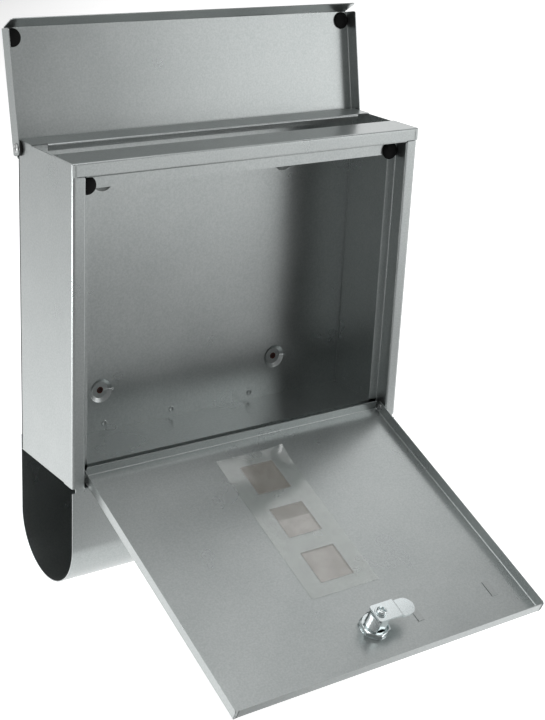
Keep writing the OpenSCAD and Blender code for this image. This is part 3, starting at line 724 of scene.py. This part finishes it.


# the brown-grey 827C74 laid over the windows is painted shade, the pale DDE0E0 elsewhere is the
# film's own haze
clear_pvc = clear_sheet("clear_pvc_film", "827C74", 0.1, 0.5)
laid_film = piece("window_film_laid",
                  [sheet_shell(door_open(film), door_open(film_n, True), None, FILM_T)],
                  clear_pvc, "door", ["window_film"])
points = np.empty(len(laid_film.data.vertices) * 3, np.float32)
laid_film.data.vertices.foreach_get("co", points)
shut = turn_x(points.reshape(-1, 3).astype(float) / MM, -DOOR_TURN, PIN_Y, PIN_Z)
# the points over the windows, where the film carries painted shade
over = (np.abs(shut[:, 0]) < WINDOW / 2 + 0.1) & (
    np.abs(shut[:, 2:] - windows_z).min(1) < WINDOW / 2 + 0.1)
laid_film.data.attributes.new("over_window", "FLOAT", "POINT").data.foreach_set(
    "value", over.astype(np.float32))

# ---- Name plate ----
# A stamped frame outside the door holds a paper card behind a clear cover. Its two tabs
# go through the door and are bent over outwards on the inner face.

dress("name_holder", silver_coat("name_plate_satin_metal", "9EA2A2", "BCC0BF"))
dress("name_cover", clear_sheet("clear_styrene", "D8D8D4", 0.08, 0.0))

# uncoated card: white and matt, with paper fibres that break up its surface

paper, place = blank("white_card_uncoated")
fibre = add(paper, "TexNoise", {"Vector": place, "Scale": 900.0, "Detail": 5.0})
tone = add(paper, "MixRGB", {"Fac": (fibre, "Fac"), "Color1": colour("E4E2DB"),
                             "Color2": colour("F2F1EC")})
tooth = add(paper, "Bump", {"Height": (fibre, "Fac"), "Strength": 0.3,
                            "Distance": 0.00005})
surface(paper, add(paper, "BsdfPrincipled", {"Base Color": (tone, "Color"),
                                             "Roughness": 0.85,
                                             "Normal": (tooth, "Normal")}))
dress("name_card", paper)

# ---- Lock ----
# A zinc plated cam lock at the middle of the door: a threaded barrel with two flats, a
# washer and a nut inside the door, a plug that turns in it, and a cranked cam on the
# plug's square end under a spring washer and a screw.

zinc = plated("bright_zinc_plate", "DCE6E8", "F4F9F9", 0.12, 260.0)


def on_door(p, x=0.0):
    """Points drawn with +Z into the box, from the door's outer face at the lock's height."""
    return door_open(np.stack([p[..., 0] + x, front_y + p[..., 2], LOCK_Z + p[..., 1]], -1))


BARREL_R, BARREL_FLATS, BARREL_L, PLUG_R, THREAD = 9.5, 16.4, 19.6, 6.0, 1.25
HEAD_R, HEAD_T = 11.5, 2.5
rows = int((BARREL_L - 0.7) / THREAD * 6)
h = np.concatenate([[BARREL_L - 0.3, BARREL_L, BARREL_L],
                    np.linspace(BARREL_L - 0.6, 0.1, rows),
                    [0, 0, 0.4 - HEAD_T, -HEAD_T, -HEAD_T, 0.3 - HEAD_T, BARREL_L - 0.3]])
r = np.concatenate([[PLUG_R, PLUG_R + 0.3, BARREL_R - 0.7], np.full(rows, BARREL_R),
                    [BARREL_R, HEAD_R, HEAD_R, HEAD_R - 0.4, PLUG_R + 0.3, PLUG_R, PLUG_R]])
angle = np.linspace(0, 2 * math.pi, 73)
H, A = np.meshgrid(h, angle, indexing="ij")
# thread: the radius falls by 0.5 mm along a triangle wave of height less pitch x turn
wave = np.abs(((H / THREAD - A / (2 * math.pi)) % 1) - 0.5) * 2
body_rows = (np.arange(len(h)) >= 3) & (np.arange(len(h)) < 3 + rows)
R = r[:, None] - np.where(body_rows[:, None], 0.5 * wave, 0)
# flats: nowhere on the body is a point further from the middle plane than half their width
cut_rows = (np.arange(len(h)) >= 2) & (np.arange(len(h)) < 4 + rows)
limit = BARREL_FLATS / 2 / np.maximum(np.abs(np.sin(A)), 1e-6)
R = np.where(cut_rows[:, None], np.minimum(R, limit), R)
piece("lock_barrel_threaded", [skin(on_door(around(R, H, A)))], zinc, "door", ["lock_barrel"])


def rounded_ring(inner, outer, low, high, soft=0.2):
    """Profile of a flat ring with its four edges broken."""
    return [(inner, low + soft), (inner + soft, low), (outer - soft, low),
            (outer, low + soft), (outer, high - soft), (outer - soft, high),
            (inner + soft, high), (inner, high - soft), (inner, low + soft)]


piece("lock_washer_flat", [turned(rounded_ring(9.6, 13.5, sheet, sheet + 0.8), on_door, 64)],
      zinc, "door", ["lock_washer"])

NUT_FLATS, NUT_T, NUT_TURN = 25.0, 4.5, math.radians(38)
low = sheet + 0.8
angle = np.linspace(0, 2 * math.pi, 73)
hexagon = NUT_FLATS / 2 / np.cos((angle % (math.pi / 3)) - math.pi / 6)
# the corners are turned down by a cone at both ends, at 30 degrees to the faces
h = np.array([0.5, 0, 0, 0.35, 0.7, 1.05, NUT_T - 1.05, NUT_T - 0.7, NUT_T - 0.35, NUT_T,
              NUT_T, NUT_T - 0.5, 0.5]) + low
cone = np.array([0, 0, 12.2, 12.9, 13.6, 15, 15, 13.6, 12.9, 12.2, 0, 0, 0])
ring = np.array([9.52, 9.95, 0, 0, 0, 0, 0, 0, 0, 0, 9.95, 9.52, 9.52])
R = np.where(cone[:, None] > 0, np.minimum(hexagon[None], cone[:, None]), ring[:, None])
nut = around(R, h[:, None], angle + NUT_TURN)
piece("lock_nut_hexagon", [skin(on_door(nut))], zinc, "door", ["lock_nut"],
      sharp=22)

dress("lock_plug", zinc)
dress("lock_wafers", plated("wafer_brass_stamped", "A8884A", "CDAE6C", 0.3, 400.0))
dress("wafer_springs", plated("spring_steel_wire", "6E7072", "96999B", 0.3, 900.0))

CAM_L, CAM_W, CAM_T, CAM_HEEL, CAM_BEND, CAM_CRANK, SQUARE = 36.5, 18.0, 2.0, 7.0, 21, 3.0, 8.0
cam_in = BARREL_L + 0.4
line, normal = fold([(-CAM_HEEL, cam_in + 1), (CAM_BEND - 2.6, cam_in + 1),
                     (CAM_BEND - 1.6, cam_in + 1 - CAM_CRANK),
                     (CAM_L, cam_in + 1 - CAM_CRANK)], radius=1.6, ease=0.3)
tip = CAM_L - CAM_W / 2
t = np.linspace(0, math.pi / 2, 13)[:-1]
extra = tip + CAM_W / 2 * np.sin(t)
heel = np.array([0.15, 0.6, 1.2, 2.0]) - CAM_HEEL
line = np.vstack([line[:1], np.stack([heel, np.full(4, cam_in + 1)], 1),
                  [(-SQUARE / 2, cam_in + 1), (SQUARE / 2, cam_in + 1)], line[1:-1],
                  np.stack([extra, np.full(12, cam_in + 1 - CAM_CRANK)], 1), line[-1:]])
normal = np.vstack([normal[:1].repeat(7, 0), normal[1:-1], normal[-1:].repeat(13, 0)])
a = line[:, 0]
wide = np.full(len(a), CAM_W / 2)
past = a > tip
wide[past] = np.sqrt(np.clip((CAM_W / 2) ** 2 - (a[past] - tip) ** 2, 0, None))
near = a < 2.0 - CAM_HEEL
wide[near] = CAM_W / 2 - 2.0 + np.sqrt(4.0 - (2.0 - (a[near] + CAM_HEEL)) ** 2)
q = np.array([-1, -0.97, -SQUARE / CAM_W, SQUARE / CAM_W, 0.97, 1])
middle = np.stack([np.broadcast_to(a[:, None], (len(a), 6)), wide[:, None] * q[None],
                   np.broadcast_to(line[:, 1:], (len(a), 6))], 2)
facing = np.stack([np.broadcast_to(normal[:, :1], (len(a), 6)), np.zeros((len(a), 6)),
                   np.broadcast_to(normal[:, 1:], (len(a), 6))], 2)
keep = np.ones((len(a) - 1, 5), bool)
keep[np.abs(mid(a)) < SQUARE / 2, 2] = False
cam = piece("lock_cam_cranked",
            [sheet_shell(on_door(middle), door_open(facing[..., [0, 2, 1]], True), keep,
                         CAM_T)],
            zinc, "plug_and_cam", ["lock_cam"])
soften = cam.modifiers.new("edge", "BEVEL")
soften.width, soften.segments, soften.limit_method = 0.00025, 2, "ANGLE"

low = cam_in + CAM_T
piece("cam_spring_washer_turned",
      [turned(rounded_ring(2.55, 6.0, low, low + 0.8, 0.15), on_door)], zinc,
      "plug_and_cam", ["cam_spring_washer"])

SCREW_HEAD_R, SCREW_HEAD_T = 4.6, 2.8
low += 0.8
radius = np.concatenate([np.linspace(0, 3.4, 24), [3.7, 4.0, 4.25, 4.45, SCREW_HEAD_R]])
angle = np.linspace(0, 2 * math.pi, 97)
RR, A = np.meshgrid(radius, angle, indexing="ij")
# pan head: a flat crown that rounds down to its rim, with a cross recess whose depth falls
# away smoothly past each arm's half width and length
crown = SCREW_HEAD_T - 0.25 * (RR / SCREW_HEAD_R) ** 2 - 1.1 * np.clip(
    (RR - 3.2) / (SCREW_HEAD_R - 3.2), 0, 1) ** 2.5
cx, cy = np.abs(RR * np.cos(A - math.pi / 4)), np.abs(RR * np.sin(A - math.pi / 4))
ARM_HALF, ARM_L, RECESS_D = 1.05, 3.2, 1.9
arm = np.maximum(*(np.clip((ARM_HALF - b) / 0.3, 0, 1) * np.clip((ARM_L - a) / 0.4, 0, 1)
                   for a, b in ((cx, cy), (cy, cx))))
top = around(RR, low + crown - RECESS_D * arm, A)
under = np.array([(SCREW_HEAD_R, low + 0.15), (SCREW_HEAD_R - 0.15, low), (2.5, low),
                  (2.5, low - 8.6), (2.1, low - 9), (0, low - 9)])
under = around(under[:, :1], under[:, 1:], angle)
piece("cam_screw_pan_head", [skin(on_door(np.concatenate([top, under])))], zinc,
      "plug_and_cam", ["cam_screw"])

# ---- Lid ----
# A tray folded from one sheet: side edges, a slanted front lip with rounded ends, and a
# narrow hem behind the hinge. It is drawn open, leaning back on the hem against the body.

lid_joint = next(j for j in frame["joints"] if j["name"] == "lid_hinge")
LID_Y, LID_Z = (np.array(lid_joint["pos_m"]) / MM)[1:]
LID_TURN = -100.6
LID_X = box_mm("lid_tray")[1][0] - half
PANEL_UP, LID_REACH, LID_TAIL, LID_EDGE, HEM_UP = 7.804, 102.0, 10.0, 13.5, 5.534
LIP_L, LIP_SLANT, LIP_R, TAIL_R = 18.8, math.radians(69), 3.0, 4.0
LIP_X, HEM_X = LID_X + half - 2.5, LID_X + half - TAIL_R
HEM_FROM = 7.6


def lid_open(p, direction=False):
    """Turns the level lid, drawn with its hinge axis at the origin, to the open lid."""
    q = turn_x(p, LID_TURN, 0, 0, direction)
    return q if direction else q + (0, LID_Y, LID_Z)


panel_z = PANEL_UP + half
edge_low = PANEL_UP - LID_EDGE
cross, cross_n = fold([(-LID_X, edge_low), (-LID_X, panel_z), (LID_X, panel_z),
                       (LID_X, edge_low)])
lip = np.array([-math.cos(LIP_SLANT), -math.sin(LIP_SLANT)])
lip_mid = np.array([-LID_REACH, PANEL_UP + sheet]) + half * np.array(
    [math.sin(LIP_SLANT), -math.cos(LIP_SLANT)])
fold_at = lip_mid + lip * (lip_mid[1] - panel_z) / -lip[1]
deep, deep_n = fold([lip_mid + lip * LIP_L, fold_at, (LID_TAIL - half, panel_z),
                     (LID_TAIL - half, HEM_UP)])

lines_x = LIP_X - np.array([0, 0.3, 0.8, 1.6, LIP_R])
cross, cross_n = in_flat(cross, cross_n, np.concatenate([lines_x, -lines_x,
                                                         [HEM_X, -HEM_X]]), panel_z)
start = deep[8, 0]
END_R = LID_EDGE / 2
front_y_lines = start + np.array([0.15, 0.6, 1.2, 2.5])
rear_lines = END_R * np.sin(np.linspace(0, math.pi / 2, 8))
deep, deep_n = in_flat(deep, deep_n, np.concatenate([front_y_lines, rear_lines,
                                                     [HEM_FROM]]), panel_z)
x, drop = cross[:, 0], panel_z - cross[:, 1]
y, fall = deep[:, 0], panel_z - deep[:, 1]
shape = (len(x), len(y))
Y = np.broadcast_to(y[None], shape).copy()
Z = panel_z - drop[:, None] - fall[None]
X = np.broadcast_to(x[:, None], shape).copy()
# the side edges: a small round at the front and a half round about the hinge at the rear
EDGE_R = 2.5
d = np.clip(y - start, 0, EDGE_R)
full = panel_z - edge_low
share = (full - EDGE_R + np.sqrt(EDGE_R ** 2 - (EDGE_R - d) ** 2)) / full
flat_edge = drop > BEND + 0.01
Z[flat_edge] = panel_z - drop[flat_edge][:, None] * share[None]
bow = np.sqrt(np.clip(END_R ** 2 - np.clip(y, 0, None) ** 2, 0, None))
rear = y > 0
centre = edge_low + END_R
free = np.abs(drop - full) < 1e-6
Z[np.ix_(free, rear)] = (centre - bow[rear])[None]
ease_row = flat_edge & ~free
Z[np.ix_(ease_row, rear)] = np.minimum(Z[np.ix_(ease_row, rear)],
                                       (centre + bow[rear])[None])
# the lip's ends: each column's free point moves up as the round corner does
d = np.clip(LIP_X - np.abs(x), 0, LIP_R)
lip_len = np.hypot(*(deep[1] - deep[0]))
share = (lip_len - LIP_R + np.sqrt(LIP_R ** 2 - (LIP_R - d) ** 2)) / lip_len
Y[:, 0] = deep[1, 0] + (deep[0, 0] - deep[1, 0]) * share
Z[:, 0] = np.where(flat_edge, Z[:, 0], deep[1, 1] + (deep[0, 1] - deep[1, 1]) * share)
middle = np.stack([X, Y, Z], 2)
facing = np.zeros((*shape, 3))
facing[..., 2] = 1
bent = np.abs(deep_n[:, 0]) > 1e-6
facing[:, bent] = np.stack([np.zeros(bent.sum()), deep_n[bent, 0], deep_n[bent, 1]], 1)[None]
bent = np.abs(cross_n[:, 0]) > 1e-6
facing[bent] = np.stack([cross_n[bent, 0], np.zeros(bent.sum()), cross_n[bent, 1]], 1)[:, None]
mx, my = np.abs(mid(x)), mid(y)
leg = np.abs(mid(fall)) < 1e-6
far = mx > LID_X - BEND - 0.41
keep = np.ones((len(x) - 1, len(y) - 1), bool)
keep &= ~(far[:, None] & ~leg[None])
keep &= ~((mx > LIP_X)[:, None] & (my < start)[None])
keep &= ~((mx > HEM_X)[:, None] & (my > HEM_FROM)[None])
panel_side = far & (mid(drop) < BEND + 0.2)
keep &= ~(panel_side[:, None] & (my > 0)[None])
keep &= ~(far[:, None] & (my > END_R)[None])
piece("lid_folded", [sheet_shell(lid_open(middle), lid_open(facing, True), keep)], silver,
      "lid", ["lid_tray"])

# ---- Lid bumpers ----
# Two rubber domes inside the lid's front corners, which land on the front strip.

LID_BUMPER_H, LID_BUMPER_IN = 3.0, 9.2
bump_x = LID_X - half - BUMPER_R - 0.1
piece("lid_bumper_domes",
      [turned(dome(BUMPER_R, LID_BUMPER_H),
              lambda p, x=x: lid_open(p * (1, 1, -1)
                                      + (x, LID_BUMPER_IN - LID_REACH, PANEL_UP)))
       for x in (-bump_x, bump_x)],
      rubber, "lid", ["lid_bumpers"])

# ---- Lid rivets and washers ----
# Semi-tubular steel rivets join the lid to the side walls, with a black nylon washer
# between them that keeps the lid off the paint. The head is domed with a rolled middle.

nylon = plastic("black_nylon", "050505", "0D0D0D", 0.5, 0.15, 300.0)
GAP = 2.1
RIVET_R, RIVET_HEAD_R, RIVET_HEAD_T, TAIL_OUT_R = 2.0, 4.5, 1.4, 3.6
head_at = LID_X + half + 0.1
rivet = [(0, wall_in - RIVET_HEAD_T), (TAIL_OUT_R - 0.5, wall_in - RIVET_HEAD_T),
         (TAIL_OUT_R, wall_in - RIVET_HEAD_T + 0.5), (TAIL_OUT_R, wall_in),
         (RIVET_R, wall_in), (RIVET_R, head_at), (RIVET_HEAD_R - 0.1, head_at),
         (RIVET_HEAD_R, head_at + 0.25), (4.2, head_at + 0.7), (3.6, head_at + 1.1),
         (2.9, head_at + 1.35), (2.3, head_at + RIVET_HEAD_T), (1.8, head_at + 1.3),
         (1.4, head_at + 0.9), (1.15, head_at + 0.3), (0, head_at + 0.2)]
piece("lid_rivets_domed", [turned(rivet, along_x(0, LID_Y, LID_Z, s)) for s in (-1, 1)],
      rivet_steel, "mailbox_body", ["lid_rivets"])
piece("lid_washers_nylon",
      [turned(rounded_ring(2.03, 7.0, side_x, side_x + GAP, 0.3),
              along_x(0, LID_Y, LID_Z, s)) for s in (-1, 1)],
      nylon, "mailbox_body", ["lid_washers"])

# ---- Stage ----
# A flat pale floor, a white surround and large soft lamps.

white, place = blank("pale_floor_painted_glow")
cloud = add(white, "TexNoise", {"Vector": place, "Scale": 3.0, "Detail": 2.0})
pale = add(white, "MixRGB", {"Fac": (cloud, "Fac"), "Color1": colour("F2F2F2"),
                             "Color2": colour("F6F6F6")})
# painted glow and shade: the floor itself glows round the object, and its glow and colour fall
# to grey in front of it
along = add(white, "VectorMath", {0: place, 1: (0.28, 0.96, 0.0)}, operation="DOT_PRODUCT")
near = add(white, "MapRange", {"Value": (along, "Value"), "From Min": -0.4, "From Max": -0.3})
across = add(white, "VectorMath", {0: place, 1: (0.81, -0.586, 0.0)},
             operation="DOT_PRODUCT")
left = add(white, "MapRange", {"Value": (across, "Value"), "From Min": -1.5,
                               "From Max": -0.45, "To Min": 0.15, "To Max": 0.62})
right = add(white, "MapRange", {"Value": (across, "Value"), "From Min": 1.1,
                                "From Max": 1.5, "To Min": 0.0, "To Max": 0.6})
both = add(white, "Math", {0: (near, "Result"), 1: (left, "Result")}, operation="MULTIPLY")
painted_glow = add(white, "Math", {0: (both, "Value"), 1: (right, "Result")}, operation="MAXIMUM")
# painted shade: the floor's colour falls to grey B8B8B8 in front of the object
paint = add(white, "MixRGB", {"Fac": (near, "Result"), "Color1": colour("B8B8B8"),
                              "Color2": (pale, "Color")})
# painted glow: the floor emits white light as strong as the mask above gives
surface(white, add(white, "BsdfPrincipled", {
    "Base Color": (paint, "Color"), "Roughness": 0.9, "Emission Color": (1, 1, 1, 1),
    "Emission Strength": (painted_glow, "Value")}))
ground = bpy.data.meshes.new("floor")
reach = 12.0
low = front_low[2] * MM - 0.12
ground.from_pydata([(-reach, -reach, low), (reach, -reach, low), (reach, reach, low),
                    (-reach, reach, low)], [], [(0, 1, 2, 3)])
ground.materials.append(white)
ground = bpy.data.objects.new("floor", ground)
bpy.context.scene.collection.objects.link(ground)

bpy.context.scene.view_settings.view_transform = "Standard"
world = bpy.data.worlds.new("studio")
bpy.context.scene.world = world
world.use_nodes = True
# the studio's walls: grey in front, paler behind the object
ray = add(world, "TexCoord")
split = add(world, "SeparateXYZ", {"Vector": (ray, "Generated")})
ramp = add(world, "MapRange", {"Value": (split, "Y"), "From Min": -1.0, "To Min": 0.2,
                               "To Max": 0.76})
grey = add(world, "CombineColor", {name: (ramp, "Result") for name in ("Red", "Green",
                                                                       "Blue")})
back_light = world.node_tree.nodes["Background"]
world.node_tree.links.new(grey.outputs["Color"], back_light.inputs["Color"])


def soft_lamp(name, place, target, width, height, power):
    """A rectangular lamp at a place, facing a target."""
    lamp = bpy.data.lights.new(name, "AREA")
    lamp.shape, lamp.size, lamp.size_y, lamp.energy = "RECTANGLE", width, height, power
    made = bpy.data.objects.new(name, lamp)
    bpy.context.scene.collection.objects.link(made)
    made.location = place
    aim = np.array(target) - np.array(place)
    made.rotation_mode = "QUATERNION"
    made.rotation_quaternion = Vector(aim).to_track_quat("-Z", "Y")


soft_lamp("lamp_left", (-2.4, 0.2, 0.9), (0, 0, 0), 1.5, 2.2, 12)
soft_lamp("lamp_top", (0.1, -0.9, 2.6), (0, 0, 0), 2.4, 1.6, 18)
soft_lamp("lamp_right", (2.4, -2.4, 0.7), (0, 0, 0), 1.8, 2.0, 15)
soft_lamp("lamp_back", (1.6, 2.1, 1.1), (0, 0, 0.1), 3.4, 1.4, 5)
soft_lamp("lamp_door", (2.0, 0.9, 2.2), (0.1, -0.3, -0.2), 1.6, 1.6, 4)
soft_lamp("lamp_low", (-1.2, 0.1, low + 0.03), (-0.15, -0.1, 0.05), 0.8, 0.5, 6)

camera = bpy.data.cameras.new("camera")
camera.lens, camera.sensor_width = 75.1, 36.0
camera.clip_start, camera.clip_end = 0.05, 60.0
eye = bpy.data.objects.new("camera", camera)
bpy.context.scene.collection.objects.link(eye)
bpy.context.scene.camera = eye
AZIMUTH, ELEVATION, ROLL, DISTANCE = (math.radians(35.87), math.radians(20.69),
                                      math.radians(2.92), 1.40389)
target = np.array([0.0268, front_y * MM, -0.06064])
back = np.array([-math.sin(AZIMUTH) * math.cos(ELEVATION),
                 -math.cos(AZIMUTH) * math.cos(ELEVATION), math.sin(ELEVATION)])
right = np.cross(-back, (0, 0, 1))
right /= np.linalg.norm(right)
up = np.cross(right, -back)
right, up = (right * math.cos(ROLL) + up * math.sin(ROLL),
             up * math.cos(ROLL) - right * math.sin(ROLL))
pose = np.eye(4)
pose[:3, 0], pose[:3, 1], pose[:3, 2], pose[:3, 3] = right, up, back, target + back * DISTANCE
eye.matrix_world = Matrix(pose.tolist())
